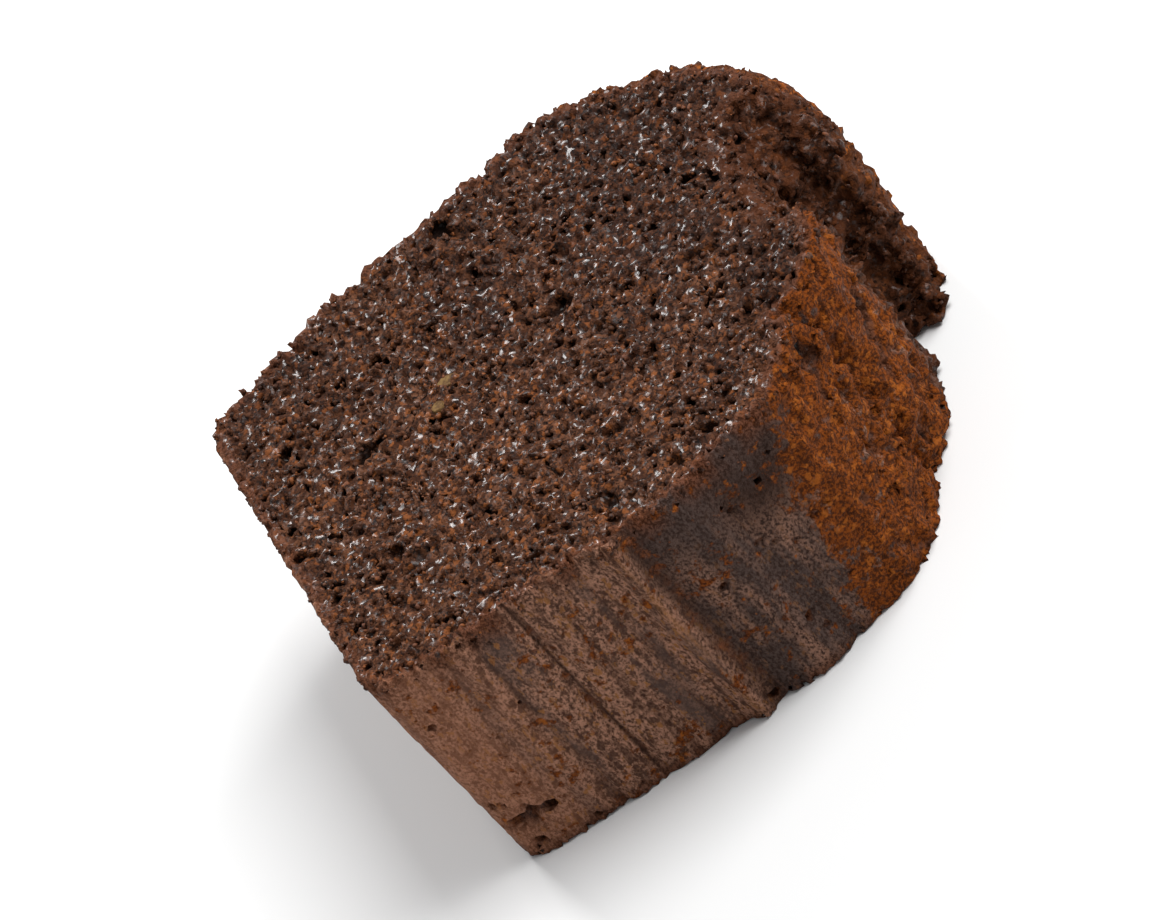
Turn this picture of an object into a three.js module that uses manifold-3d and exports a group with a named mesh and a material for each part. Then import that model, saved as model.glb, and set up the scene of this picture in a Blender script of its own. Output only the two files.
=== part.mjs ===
// One thick slice of dark chocolate loaf cake, lying on a cut face.
// Millimetres. X runs across the loaf, Y from its base up to its dome, and Z
// through the slice, so the cut face that shows is the top one, at +Z.
// Depths are measured down from that face.
import * as THREE from 'three';
import { mergeVertices } from 'three/addons/utils/BufferGeometryUtils.js';
import Module from 'manifold-3d';

// ---- driving dimensions ----
const THICKNESS = 33; // of the slice, along the loaf
const BASE_WIDTH = 58; // flat bottom of the loaf, between its corners
const BASE_CORNER = 3.2; // how far the bottom corners are rounded
const BASE_FLARE = 0.8; // how far the walls stand out over the flat bottom, just above it
const CORNER_MIDDLE = { in: 0.5, up: 0.7 }; // the middle of each rounded corner
const FULL_HEIGHT = 78; // base to the highest part of the dome
const SHOULDER_LEFT = { x: -34.8, y: 52 }; // where the left wall meets the top crust
const SHOULDER_RIGHT = { x: 34.4, y: 55.5, sink: 0.8 }; // sink: lower by this at the back
const SHOULDER_BULGE = 4; // the round top of the right shoulder, in and up from its corner
const DOME_FLANK = { x: -19, below: 1.8 }; // the dome is highest left of the middle, up to here
const DOME_SLOPE = { x: -25.5, yFront: 67, yDeep: 69.3 };
const DOME_FOOT = { x: -31.6, y: 58.4 };
const FRONT_DROP = 3.4; // how much lower the dome is where its edge broke at the shown face
const BACK_DROP = 2; // and at the hidden face

// how each wall flares in its paper liner: [height, distance from the middle]
const LEFT_WALL = [[7, 30.8], [18, 33.4], [37, 34.2]];
const RIGHT_WALL = [[9, 31.5], [20, 33.3], [27.5, 34.2]];
const RIGHT_WALL_UPPER = [[36, 36.2], [41, 36.9], [47.5, 35.6]];
const LINER_STEP = { y: 31.5, out: 36.4, rise: 2.2, reach: 1.9 }; // a fold of the liner

// lesser folds of the paper pressed into the walls, along the loaf: [height, depth, width]
const LEFT_CREASES = [[13, 0.45, 1.1], [24, 0.7, 1.3], [31.5, 0.4, 0.9], [43, 0.6, 1.2]];
const RIGHT_CREASES = [[12.6, 0.35, 0.9], [18.4, 0.6, 0.9], [34.2, 0.7, 1.3], [44.5, 0.4, 1.2]];

// the burst top: the dome's torn lip, a deep crack, one flap, a fissure, a second flap
const LIP_FRONT = { x: -13, y: 74 }; // broken off at the shown face
const LIP_DEEP = { x: -4.5, y: 76.6 };
const LIP_BACK = { x: 0, y: 73.6 };
const LIP_BREAK = 6; // depth over which the lip is broken off
const LIP_EDGE = { back: 0.6, down: 3.4 }; // the torn edge under the lip, measured from its tip
const CRACK = { y: 68.2, sink: 1.4, underLip: 2, underFlap: 1.4, tilt: 0.6 };
const FLAP_TIP_FRONT = { x: 11.2, y: 72 };
const FLAP_TIP_BACK = { x: 5.4, y: 69.4 };
const FLAP_SWELL = { x: 0.8, y: 1.2 };
const FISSURE = { x: 23, y: 65.2, width: 2.4, depth: 3.4, sway: 0.8, sink: 1.8, tilt: 1.7 };

// baked unevenness
const WALL_WOBBLE = 0.35;
const DOME_WOBBLE = 0.6;
const DOME_CRAG = 0.35;
const TORN_CRAG = 0.8; // bare crumb in the crack and under the lip is roughest
const LAYERS = 12; // rings of the outline through the thickness

// steps of the outline along each stretch of it
const STEPS = {
  base: 14, corner: 4, rightWall: 16, fold: 2, upperWall: 13, shoulder: 8, fissure: 2,
  flap: 7, flapEdge: 2, crackFloor: 4, lipEdge: 5, dome: 32, leftWall: 26,
};

// bubbles opened by the knife, pits in the walls and a broken bottom corner
const CUT_BUBBLES = { count: 28, least: 0.6, spread: 1.1, x: [-29, 30], y: [4, 66] };
const WALL_PITS = { count: 14, least: 0.6, spread: 0.7, fromEnds: 4 };
const LOW_PITS = { y: [3, 16], out: [30.6, 33.4] };
const HIGH_PITS = { y: [42, 54], out: [36, 36] };
const BROKEN_CORNER = { x: 31.2, y: 2.8, depth: 28.5, size: 2, stretch: 1.3 };
const SEED = 20611;

// ---- small helpers ----
const mix = (a, b, t) => a + (b - a) * t;
const smooth = (t) => {
  const c = Math.min(1, Math.max(0, t));
  return c * c * (3 - 2 * c);
};

function seededRandom(seed) {
  let state = seed;
  return () => {
    state = (state * 1664525 + 1013904223) % 4294967296;
    return state / 4294967296;
  };
}

// a repeatable roll of the surface, about as long as it is wide, between -1 and 1
function roll(a, b) {
  const broad = Math.sin(a * 0.55 + 0.7) * Math.cos(b * 0.47 + 0.4);
  const fine = Math.sin(a * 0.9 + b * 0.6 + 2.1) * Math.cos(b * 0.8 - a * 0.5 + 1.3);
  return (broad + fine) / 2;
}

const pointBetween = (p, q, t) => new THREE.Vector2(mix(p.x, q.x, t), mix(p.y, q.y, t));

// a curve through points, cut into an even number of steps without its last point
function run(points, steps) {
  const curve = points.length === 2
    ? new THREE.LineCurve(points[0], points[1]) : new THREE.SplineCurve(points);
  return curve.getSpacedPoints(steps).slice(0, steps);
}

const at = (x, y) => new THREE.Vector2(x, y);

// ---- the outline of the loaf at one depth, from the base's left corner round to the right ----
function outline(depth) {
  const t = depth / THICKNESS;
  const half = BASE_WIDTH / 2;
  const broken = smooth(depth / LIP_BREAK);
  const lipDeep = pointBetween(LIP_DEEP, LIP_BACK, smooth((t - 0.35) / 0.65));
  const lip = pointBetween(LIP_FRONT, lipDeep, broken);
  const flapTip = pointBetween(FLAP_TIP_FRONT, FLAP_TIP_BACK, t);
  const fissureX = FISSURE.x + FISSURE.sway * Math.sin(depth * 0.35);
  const fissureY = FISSURE.y - FISSURE.sink * t;
  const top = mix(FULL_HEIGHT - FRONT_DROP, FULL_HEIGHT, broken)
    - BACK_DROP * smooth((t - 0.4) / 0.6);

  const corner = BASE_CORNER;
  const leftCorner = at(-half + CORNER_MIDDLE.in, CORNER_MIDDLE.up);
  const rightCorner = at(half - CORNER_MIDDLE.in, CORNER_MIDDLE.up);
  const leftFoot = at(-half - BASE_FLARE, corner);
  const rightFoot = at(half + BASE_FLARE, corner);
  const shoulderLeft = at(SHOULDER_LEFT.x, SHOULDER_LEFT.y);
  const shoulderRight = at(SHOULDER_RIGHT.x, SHOULDER_RIGHT.y - SHOULDER_RIGHT.sink * t);
  const shoulderTop = at(shoulderRight.x - SHOULDER_BULGE, shoulderRight.y + SHOULDER_BULGE);
  const stepFoot = at(LINER_STEP.out - LINER_STEP.reach, LINER_STEP.y - LINER_STEP.rise);
  const stepHead = at(LINER_STEP.out, LINER_STEP.y);
  const wallPoints = (wall, side) => wall.map(([y, out]) => at(side * out, y));
  const fissureRight = at(fissureX + FISSURE.width / 2, fissureY - FISSURE.tilt / 2);
  const fissureFloor = at(fissureX, fissureY - FISSURE.depth);
  const fissureLeft = at(fissureX - FISSURE.width / 2, fissureY + FISSURE.tilt / 2);
  const floor = CRACK.y - CRACK.sink * t;
  const crackRight = at(flapTip.x - CRACK.underFlap, floor);
  const crackLeft = at(lip.x + CRACK.underLip, floor + CRACK.tilt);
  const lipEdge = at(lip.x - LIP_EDGE.back, lip.y - LIP_EDGE.down);
  const flapMiddle = pointBetween(fissureLeft, flapTip, 0.5).add(FLAP_SWELL);

  return [
    ...run([at(-half + corner, 0), at(half - corner, 0)], STEPS.base),
    ...run([at(half - corner, 0), rightCorner, rightFoot], STEPS.corner),
    ...run([rightFoot, ...wallPoints(RIGHT_WALL, 1), stepFoot], STEPS.rightWall),
    ...run([stepFoot, stepHead], STEPS.fold),
    ...run([stepHead, ...wallPoints(RIGHT_WALL_UPPER, 1), shoulderRight], STEPS.upperWall),
    ...run([shoulderRight, shoulderTop, fissureRight], STEPS.shoulder),
    ...run([fissureRight, fissureFloor], STEPS.fissure),
    ...run([fissureFloor, fissureLeft], STEPS.fissure),
    ...run([fissureLeft, flapMiddle, flapTip], STEPS.flap),
    ...run([flapTip, crackRight], STEPS.flapEdge),
    ...run([crackRight, crackLeft], STEPS.crackFloor),
    ...run([crackLeft, lipEdge, lip], STEPS.lipEdge),
    ...run([lip, at(mix(lip.x, DOME_FLANK.x, 0.4), top), at(DOME_FLANK.x, top - DOME_FLANK.below),
      at(DOME_SLOPE.x, mix(DOME_SLOPE.yFront, DOME_SLOPE.yDeep, broken)),
      at(DOME_FOOT.x, DOME_FOOT.y), shoulderLeft], STEPS.dome),
    ...run([shoulderLeft, ...wallPoints(LEFT_WALL, -1).reverse(), leftFoot], STEPS.leftWall),
    ...run([leftFoot, leftCorner, at(-half + corner, 0)], STEPS.corner),
  ];
}

// the folds of the liner, as how far in the wall is pressed at a height
function pressed(creases, height, depth) {
  return creases.reduce((sum, [y, deep, wide]) => {
    const off = height - y - 0.5 * Math.sin(depth * 0.21 + y);
    return sum + deep * Math.exp(-((off / wide) ** 2));
  }, 0);
}

// baking leaves the top rough, the torn crumb craggy and the walls gently rolled
function roughened(points, depth, random) {
  const normal = new THREE.Vector2();
  return points.map((point, i) => {
    const before = points[(i + points.length - 1) % points.length];
    const after = points[(i + 1) % points.length];
    normal.set(after.y - before.y, before.x - after.x).normalize();
    const onTop = smooth((point.y - 50) / 8);
    const onWall = smooth(point.y / 6) * (1 - onTop);
    const torn = smooth((point.y - 64) / 3) * smooth((point.x + 8) / 4)
      * smooth((13 - point.x) / 4);
    const crag = mix(DOME_CRAG, TORN_CRAG, torn) * (2 * random() - 1);
    const coarse = DOME_WOBBLE * roll(point.x - point.y, depth) + crag;
    const gentle = WALL_WOBBLE * roll(point.y * 0.5 + (point.x > 0 ? 9 : 0), depth * 0.6);
    const creases = point.x < 0 ? LEFT_CREASES : RIGHT_CREASES;
    const move = onTop * coarse + onWall * (gentle - pressed(creases, point.y, depth));
    return point.clone().addScaledVector(normal, move);
  });
}

// ---- the loaf's body: rings of the outline joined into one closed skin ----
function loafBody(random) {
  const rings = [];
  for (let layer = 0; layer <= LAYERS; layer += 1) {
    const depth = THICKNESS * (1 - layer / LAYERS);
    rings.push(roughened(outline(depth), depth, random));
  }
  const count = rings[0].length;
  const positions = rings.flatMap((ring, layer) => ring.flatMap(
    (p) => [p.x, p.y, THICKNESS * (layer / LAYERS)],
  ));
  const faces = [];
  for (let layer = 0; layer < LAYERS; layer += 1) {
    for (let i = 0; i < count; i += 1) {
      const j = (i + 1) % count;
      const low = layer * count;
      const high = low + count;
      faces.push(low + i, low + j, high + j, low + i, high + j, high + i);
    }
  }
  const bottom = THREE.ShapeUtils.triangulateShape(rings[0], []);
  const shown = THREE.ShapeUtils.triangulateShape(rings[LAYERS], []);
  const last = LAYERS * count;
  bottom.forEach(([a, b, c]) => faces.push(a, c, b));
  shown.forEach(([a, b, c]) => faces.push(last + a, last + b, last + c));
  const geometry = new THREE.BufferGeometry();
  geometry.setAttribute('position', new THREE.Float32BufferAttribute(positions, 3));
  geometry.setIndex(faces);
  return geometry;
}

// a lumpy bubble, longer one way
function blob(random, size, stretch, where, turn) {
  const geometry = new THREE.IcosahedronGeometry(1, 1);
  geometry.deleteAttribute('normal');
  geometry.deleteAttribute('uv');
  const merged = mergeVertices(geometry, 1e-4);
  const place = merged.attributes.position;
  for (let i = 0; i < place.count; i += 1) {
    const swell = 0.82 + 0.36 * random();
    place.setXYZ(i, place.getX(i) * swell, place.getY(i) * swell, place.getZ(i) * swell);
  }
  merged.scale(size * stretch, size, size * 0.9);
  merged.rotateZ(turn);
  merged.translate(where.x, where.y, where.z);
  return merged;
}

// ---- joining and cutting ----
const wasm = await Module();
wasm.setup();

function solidOf(geometry) {
  return new wasm.Manifold(new wasm.Mesh({
    numProp: 3,
    vertProperties: new Float32Array(geometry.attributes.position.array),
    triVerts: new Uint32Array(geometry.index.array),
  }));
}

function geometryOf(solid) {
  const mesh = solid.getMesh();
  const geometry = new THREE.BufferGeometry();
  geometry.setAttribute('position', new THREE.Float32BufferAttribute(mesh.vertProperties, 3));
  geometry.setIndex(Array.from(mesh.triVerts));
  return geometry;
}

function cakeSlice() {
  const random = seededRandom(SEED);
  let slice = solidOf(loafBody(random));
  const open = (size, stretch, place) => {
    slice = slice.subtract(solidOf(blob(random, size, stretch, place, random() * 3)));
  };

  // bubbles that the knife opened on the shown face
  for (let i = 0; i < CUT_BUBBLES.count; i += 1) {
    const size = CUT_BUBBLES.least + CUT_BUBBLES.spread * random() ** 2;
    const x = mix(...CUT_BUBBLES.x, random());
    const y = mix(...CUT_BUBBLES.y, random());
    open(size, 1 + random(), { x, y, z: THICKNESS + size / 4 });
  }

  // pits in the right wall, half of them low down and half near the shoulder
  for (let i = 0; i < WALL_PITS.count; i += 1) {
    const zone = i % 2 === 0 ? LOW_PITS : HIGH_PITS;
    const y = mix(...zone.y, random());
    const x = mix(...zone.out, y / zone.y[1]);
    const z = mix(WALL_PITS.fromEnds, THICKNESS - WALL_PITS.fromEnds, random());
    open(WALL_PITS.least + WALL_PITS.spread * random(), 1, { x, y, z });
  }

  const corner = BROKEN_CORNER;
  open(corner.size, corner.stretch, { x: corner.x, y: corner.y, z: THICKNESS - corner.depth });
  return slice;
}

const geometry = geometryOf(cakeSlice());
geometry.computeBoundingBox();
const middle = geometry.boundingBox.getCenter(new THREE.Vector3());
geometry.translate(-middle.x, -middle.y, -geometry.boundingBox.min.z);

const crumb = new THREE.MeshStandardMaterial({
  name: 'chocolate_crumb', color: 0x4f3021, roughness: 0.85, metalness: 0,
});
const slice = new THREE.Mesh(geometry, crumb);
slice.name = 'cake_slice';

const cake = new THREE.Group();
cake.add(slice);

export default cake;
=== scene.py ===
"""One thick slice of dark chocolate loaf cake, lying on a cut face.

The frame has X across the loaf, Y from its base up to its dome, and Z
through the slice, so the cut face that shows is the top one. The shapes are
worked out in millimetres, from the frame's own outline, and handed to Blender
in metres.
"""

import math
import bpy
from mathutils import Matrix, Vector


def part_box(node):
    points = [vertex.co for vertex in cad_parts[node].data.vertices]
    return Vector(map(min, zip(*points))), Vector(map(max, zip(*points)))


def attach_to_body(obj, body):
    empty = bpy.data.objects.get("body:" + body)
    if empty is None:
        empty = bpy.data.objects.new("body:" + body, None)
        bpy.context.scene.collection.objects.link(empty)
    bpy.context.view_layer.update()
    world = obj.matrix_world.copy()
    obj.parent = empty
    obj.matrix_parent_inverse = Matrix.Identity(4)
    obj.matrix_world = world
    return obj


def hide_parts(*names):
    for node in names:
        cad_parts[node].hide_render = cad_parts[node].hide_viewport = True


bl_info = {
    "name": "Chocolate loaf cake slice",
    "version": (1, 0, 0),
    "blender": (4, 5, 0),
    "location": "View3D > Sidebar > Cake",
    "description": "Builds a moist, open-crumbed slice of chocolate loaf cake and its stage",
    "category": "Add Mesh",
}

import bmesh
import bpy
import numpy as np
import openvdb
from bpy.props import FloatProperty, FloatVectorProperty, IntProperty, PointerProperty
from mathutils import Color, Matrix, Vector

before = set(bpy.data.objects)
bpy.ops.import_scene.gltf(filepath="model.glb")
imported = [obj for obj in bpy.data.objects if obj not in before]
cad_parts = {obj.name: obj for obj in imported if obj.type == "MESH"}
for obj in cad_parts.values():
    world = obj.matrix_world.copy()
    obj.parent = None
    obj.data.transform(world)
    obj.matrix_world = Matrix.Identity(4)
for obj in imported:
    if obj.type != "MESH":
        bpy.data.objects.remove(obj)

CAKE_NODE = "cake_slice"
MM = 0.001
PHOTO_WIDTH, PHOTO_HEIGHT = 1160, 920

# the frame's box in millimetres: the loaf's base is at BASE_Y, the shown face at SHOWN_Z
LOW, HIGH = (np.array(corner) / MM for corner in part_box(CAKE_NODE))
BASE_Y = LOW[1]
HIDDEN_Z = LOW[2]
SHOWN_Z = HIGH[2]

# zones of the loaf: heights above its base and places across it, in mm
WALL_START = 20.0
TOP_START = 50.0
TOP_FADE = 8.0
CRACK_FLOOR = 64.0
CRACK_LEFT = -15.5
CRACK_RIGHT = 12.0
STEP_FOOT = 31.0
STEP_TOP = 34.0

# the broken lip: from LIP_START under the shown face, the crack narrows by LIP_SHIFT
# within LIP_BREAK, in mm
LIP_START = 4.0
LIP_BREAK = 8.0
LIP_SHIFT = 7.5

# bumps of the baked skin in mm: their length, and how far they stand out on the wall,
# then how much more on the browned top, and how much more in the crack or at the cut rims
BROAD_BUMPS = 3.4
BROAD_OUT = (0.04, 0.24, 0.10)
FINE_BUMPS = 1.5
FINE_OUT = (0.03, 0.14, 0.12)
PAPER_BUMPS = 1.6
PAPER_OUT = 0.07
TOP_FOLDS = 7.0
TOP_FOLD_DEPTH = 0.8
COARSE_STEP = 0.5

# the paper's folds wander up and down through the slice by FOLD_WAVE, in mm
FOLD_WAVE = 0.5
WAVE_RATE = 0.21
WAVE_START = 1.3

# crumb opened by the knife: how deep it goes, and the length and height of its lumps, in mm
OPENED_DEPTH = 4.2
CLUMPS = 2.2
CLUMPS_OUT = 0.26
TEETH = 1.15
TEETH_OUT = 0.24

# crumb torn open in the crack: the length and height of its lumps and gaps, in mm
TORN_LUMPS = 2.7
TORN_LUMPS_OUT = 0.50
TORN_GRAINS = 1.35
TORN_GRAINS_OUT = 0.46
TORN_GAPS = 2.2
TORN_GAPS_DEPTH = 0.9
TORN_TEETH = 0.85
TORN_TEETH_OUT = 0.13

# random bumps have a spread of 1, and this is then their usual size
MEAN_BUMP = 0.8

# folds of the paper pressed into the walls, along the loaf: [height, how far out, width] in mm
LEFT_CREASES = ((13, -0.4, 0.6), (18.5, -0.3, 0.4), (24, -0.55, 0.7), (31.5, -0.4, 0.6),
                (37, -0.3, 0.5), (43, -0.5, 0.7))
RIGHT_CREASES = ((8.6, -0.2, 0.4), (12.6, -0.3, 0.5), (18.4, -0.5, 0.4), (22.8, -0.18, 0.4),
                 (27.0, -0.2, 0.5), (31.4, 0.55, 0.6), (33.9, -0.45, 1.1), (44.5, -0.25, 0.7))

# painted shade drawn along the wall's creases and in the groove above its step: [height in mm,
# reach in mm, strength]; the step's edge gets a painted highlight
CREASE_SHADE_LINES = ((12.6, 0.5, 0.35), (18.4, 0.45, 0.85), (22.8, 0.5, 0.4), (27.0, 0.5, 0.3),
              (33.6, 2.0, 0.6))
STEP_HIGHLIGHT = (31.3, 0.8, 0.5)

# where the skin is pitted: [x, height, depth, spread, count, largest radius], lengths in mm
PIT_CLUSTERS = ((29.3, 3.4, 27.5, 1.5, 34, 1.3), (28.4, 1.3, 31.0, 0.9, 12, 1.1),
                (34.5, 50.0, 8.5, 2.6, 26, 0.8), (35.4, 44.0, 15.0, 1.0, 5, 0.6),
                (30.8, 10.5, 3.5, 1.8, 14, 0.6), (31.2, 13.0, 16.0, 3.0, 10, 0.5))
PIT_ROWS = 12

# splits in the baked top: [x, depth] at one end and at the other, and half the width in mm
SPLITS = (((13.0, 8.0), (18.5, 21.0), 1.2), ((25.0, 1.0), (27.5, 10.0), 1.1),
          ((9.0, 0.5), (12.5, 6.0), 0.7), ((29.0, 14.0), (25.5, 25.0), 0.6),
          ((-26.0, 6.0), (-24.0, 17.0), 0.5), ((18.0, 25.0), (21.0, 32.0), 0.7))
SPLIT_STEPS = 34

# bits of nut in the shown face: [x, height, radius] in mm
NUT_BITS = ((-8.0, 26.8, 1.5), (-5.2, 24.3, 0.8))

# part of the clinging crumbs that lie on the cut face, the others being at its rims
CRUMBS_ON_FACE = 0.72

# the picture's own right, and the way from the slice to the camera
PICTURE_RIGHT = (0.327, 0.763, -0.558)
TOWARDS_CAMERA = (0.800, 0.091, 0.593)
SENSOR_WIDTH = 36

# lights: name, the way to it from the slice, size in m and power in W
LIGHT_DISTANCE = 1.2
LIGHTS = (
    ("Soft top", (-0.02, 0.595, 0.803), 0.9, 20.0),
    ("Glancing back", (-0.80, -0.09, 0.62), 0.25, 8.0),
)
ROOM_COLOUR = (0.95, 0.97, 1.0, 1.0)
ROOM_STRENGTH = 0.34


# ---------------------------------------------------------------- properties


def colour_property(name, description, default):
    """A colour that the user may change."""
    return FloatVectorProperty(
        name=name, description=description, default=default,
        subtype="COLOR", size=3, min=0.0, max=1.0,
    )


def length_property(name, description, default, least):
    """A length that the user may change, in metres."""
    return FloatProperty(
        name=name, description=description, default=default, min=least,
        subtype="DISTANCE", unit="LENGTH", precision=5,
    )


def share_property(name, description, default, least=0.0, most=1.0):
    """A part of a whole that the user may change."""
    return FloatProperty(
        name=name, description=description, default=default, min=least, max=most,
        subtype="FACTOR",
    )


def count_property(name, description, default, least=0):
    """A whole number that the user may change."""
    return IntProperty(name=name, description=description, default=default, min=least)


class CakeCrumbProperties(bpy.types.PropertyGroup):
    """The soft inside of the cake, where the knife opened it."""

    seed: count_property("Seed", "Starts every random draw", 20611, least=1)
    voxel: length_property("Voxel", "Finest step of the modelled crumb", 0.25 * MM, 0.1 * MM)
    faces: count_property("Faces", "Most triangles that the slice may have", 196000, least=20000)
    pore_size: length_property(
        "Pore size", "Usual distance between the small pores", 1.6 * MM, 0.3 * MM)
    pore_share: share_property(
        "Pore share", "Part of the cut face that small pores take up", 0.12, most=0.6)
    chips: count_property("Chips", "Crumbs lost along each cut rim", 320)
    pits: count_property("Pits", "Small pits in the baked skin", 360)
    bubbles: count_property("Bubbles", "Larger bubbles that the knife opened", 240)
    crumbs: count_property("Crumbs", "Loose crumbs that cling to the slice", 9000, least=10)
    colour: colour_property(
        "Crumb colour", "Colour of the moist crumb", (0.046, 0.0136, 0.0041))
    light_colour: colour_property(
        "Light crumb", "Colour of the paler grains", (0.125, 0.048, 0.022))
    # dark crumb, and painted shade down in the pores and between the grains
    dark_crumb_and_shade: colour_property(
        "Dark crumb", "Colour down in the pores", (0.008, 0.0025, 0.001))
    fleck_colour: colour_property(
        "Warm flecks", "Colour of the redder crumbs in it", (0.210, 0.064, 0.016))
    # the crumb's colour is multiplied by this in broad patches, more towards the dome and towards
    # the left
    shade_colour: colour_property(
        "Shade", "What the crumb's colour is multiplied by in its denser parts",
        (0.58, 0.54, 0.52))
    nut_colour: colour_property("Nut", "Colour of the bits of nut", (0.190, 0.112, 0.040))
    nut_stain: colour_property(
        "Nut stain", "Colour of the nut where crumb stained it", (0.090, 0.044, 0.014))


class CakeCrustProperties(bpy.types.PropertyGroup):
    """The baked skin of the loaf, against its paper and on top."""

    rind: length_property(
        "Rind", "How deep the browned skin goes into the crumb", 1.1 * MM, 0.1 * MM)
    rind_colour: colour_property(
        "Rind colour", "Colour of the browned edge of the cut face", (0.150, 0.052, 0.025))
    wall_colour: colour_property(
        "Wall colour", "Colour of the side low down", (0.400, 0.200, 0.128))
    low_shade: colour_property(
        "Wall shade", "Colour between the grains of the side low down", (0.058, 0.025, 0.015))
    dark_wall_colour: colour_property(
        "Upper wall colour", "Colour of the side above its step", (0.034, 0.017, 0.012))
    grey_colour: colour_property(
        "Paper mark", "Colour where the paper left the side smooth and greyer",
        (0.078, 0.050, 0.042))
    rust_colour: colour_property(
        "Rust", "Warmer colour of the side near the base", (0.33, 0.128, 0.064))
    speck_colour: colour_property(
        "Wall specks", "Colour of the fine specks on the side", (0.270, 0.112, 0.040))
    shoulder_colour: colour_property(
        "Shoulder colour", "Colour of the browned shoulder and flaps", (0.205, 0.047, 0.004))
    dome_colour: colour_property(
        "Dome colour", "Colour of the risen dome", (0.115, 0.034, 0.009))
    top_shade: colour_property(
        "Top shade", "Colour between the grains of the browned top", (0.050, 0.0125, 0.0022))
    top_fleck: colour_property(
        "Top flecks", "Colour of the palest grains of the browned top", (0.35, 0.095, 0.011))
    torn_colour: colour_property(
        "Torn colour", "Colour of the wet crumb in the burst crack", (0.085, 0.024, 0.007))
    torn_shade: colour_property(
        "Deep shade", "Colour in the deepest folds and gaps", (0.022, 0.008, 0.004))


class CakeStageProperties(bpy.types.PropertyGroup):
    """The camera, the floor and the soft lights."""

    distance: length_property(
        "Camera distance", "From the camera to the middle of the slice", 2.05, 0.5)
    filling: share_property(
        "Filling", "Part of the picture's height that the slice takes up", 0.86, least=0.1)
    floor: length_property("Floor", "Width of the floor", 12.0, 1.0)
    floor_colour: colour_property(
        "Floor colour", "Colour of the plain floor", (0.82, 0.82, 0.815))


# ---------------------------------------------------------------- numbers over the grid


def smooth(value):
    """A soft step from 0 to 1."""
    held = np.clip(value, 0.0, 1.0)
    return held * held * (3.0 - 2.0 * held)


def blurred(values, softness):
    """Values on a grid, each mixed with its neighbours; softness is in grid steps."""
    for axis, soft in enumerate(softness):
        places = np.arange(values.shape[axis])
        weights = np.exp(-0.5 * ((places[:, None] - places[None, :]) / soft) ** 2)
        weights /= weights.sum(1, keepdims=True)
        values = np.moveaxis(np.tensordot(weights, values, axes=(1, axis)), 0, axis)
    return values.astype(np.float32)


def spread(values, places, onto):
    """Values on a coarse grid brought onto a finer one, between its grid points."""
    for axis in range(3):
        step = places[axis][1] - places[axis][0]
        where = np.clip((onto[axis] - places[axis][0]) / step, 0, len(places[axis]) - 1.001)
        low = where.astype(int)
        share = (where - low).astype(np.float32)
        share = share.reshape([-1 if k == axis else 1 for k in range(3)])
        values = (np.take(values, low, axis) * (1 - share)
                  + np.take(values, low + 1, axis) * share)
    return np.ascontiguousarray(values, dtype=np.float32)


def grain(shape, step, length, rng, stretch=(1.0, 1.0, 1.0), sharp=0.45):
    """Random bumps of one usual length in mm, with a spread of 1 about 0."""
    field = np.fft.rfftn(rng.standard_normal(shape).astype(np.float32))
    waves = [np.fft.fftfreq(n, step) * s for n, s in zip(shape[:2], stretch)]
    waves.append(np.fft.rfftfreq(shape[2], step) * stretch[2])
    rate = np.sqrt(sum(w.reshape([-1 if k == axis else 1 for k in range(3)]) ** 2
                       for axis, w in enumerate(waves)))
    band = np.exp(-(((rate * length) - 1.0) / sharp) ** 2)
    field = np.fft.irfftn(field * band, s=shape, axes=(0, 1, 2)).astype(np.float32)
    return field / field.std()


def mixed_sizes(least, extra, rarity, count, rng):
    """Sizes from least to least + extra; more rarity makes the large ones fewer."""
    return least + extra * rng.random(count) ** rarity


def cells(axis, places):
    """The steps of a grid's axis in which places along it lie."""
    return np.clip(((places - axis[0]) / (axis[1] - axis[0])).astype(int), 0, None)


def solid_triangles(node):
    """The frame solid's corners and triangles, its equal corners joined, in mm."""
    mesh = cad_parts[node].data
    mesh.calc_loop_triangles()
    corners = np.empty(len(mesh.vertices) * 3)
    mesh.vertices.foreach_get("co", corners)
    triangles = np.empty(len(mesh.loop_triangles) * 3, int)
    mesh.loop_triangles.foreach_get("vertices", triangles)
    points, joined = np.unique(corners.reshape(-1, 3), axis=0, return_inverse=True)
    return points / MM, joined.reshape(-1)[triangles].reshape(-1, 3)


def outline_at(points, triangles, height):
    """The longest closed outline in which a solid crosses one height."""
    over = points[:, 2] > height
    count = over[triangles].sum(1)
    ahead = {}
    for corners in triangles[(count > 0) & (count < 3)]:
        ring = [(corners[k], corners[(k + 1) % 3]) for k in range(3)]
        down = next(edge for edge in ring if over[edge[0]] and not over[edge[1]])
        up = next(edge for edge in ring if over[edge[1]] and not over[edge[0]])
        ahead[tuple(sorted(down))] = tuple(sorted(up))
    longest = []
    while ahead:
        first, edge = ahead.popitem()
        loop = [first]
        while edge != first:
            loop.append(edge)
            edge = ahead.pop(edge)
        longest = max(longest, loop, key=len)
    a, b = points[[edge[0] for edge in longest]], points[[edge[1] for edge in longest]]
    share = ((height - a[:, 2]) / (b[:, 2] - a[:, 2]))[:, None]
    return (a + (b - a) * share)[:, :2]


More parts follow.
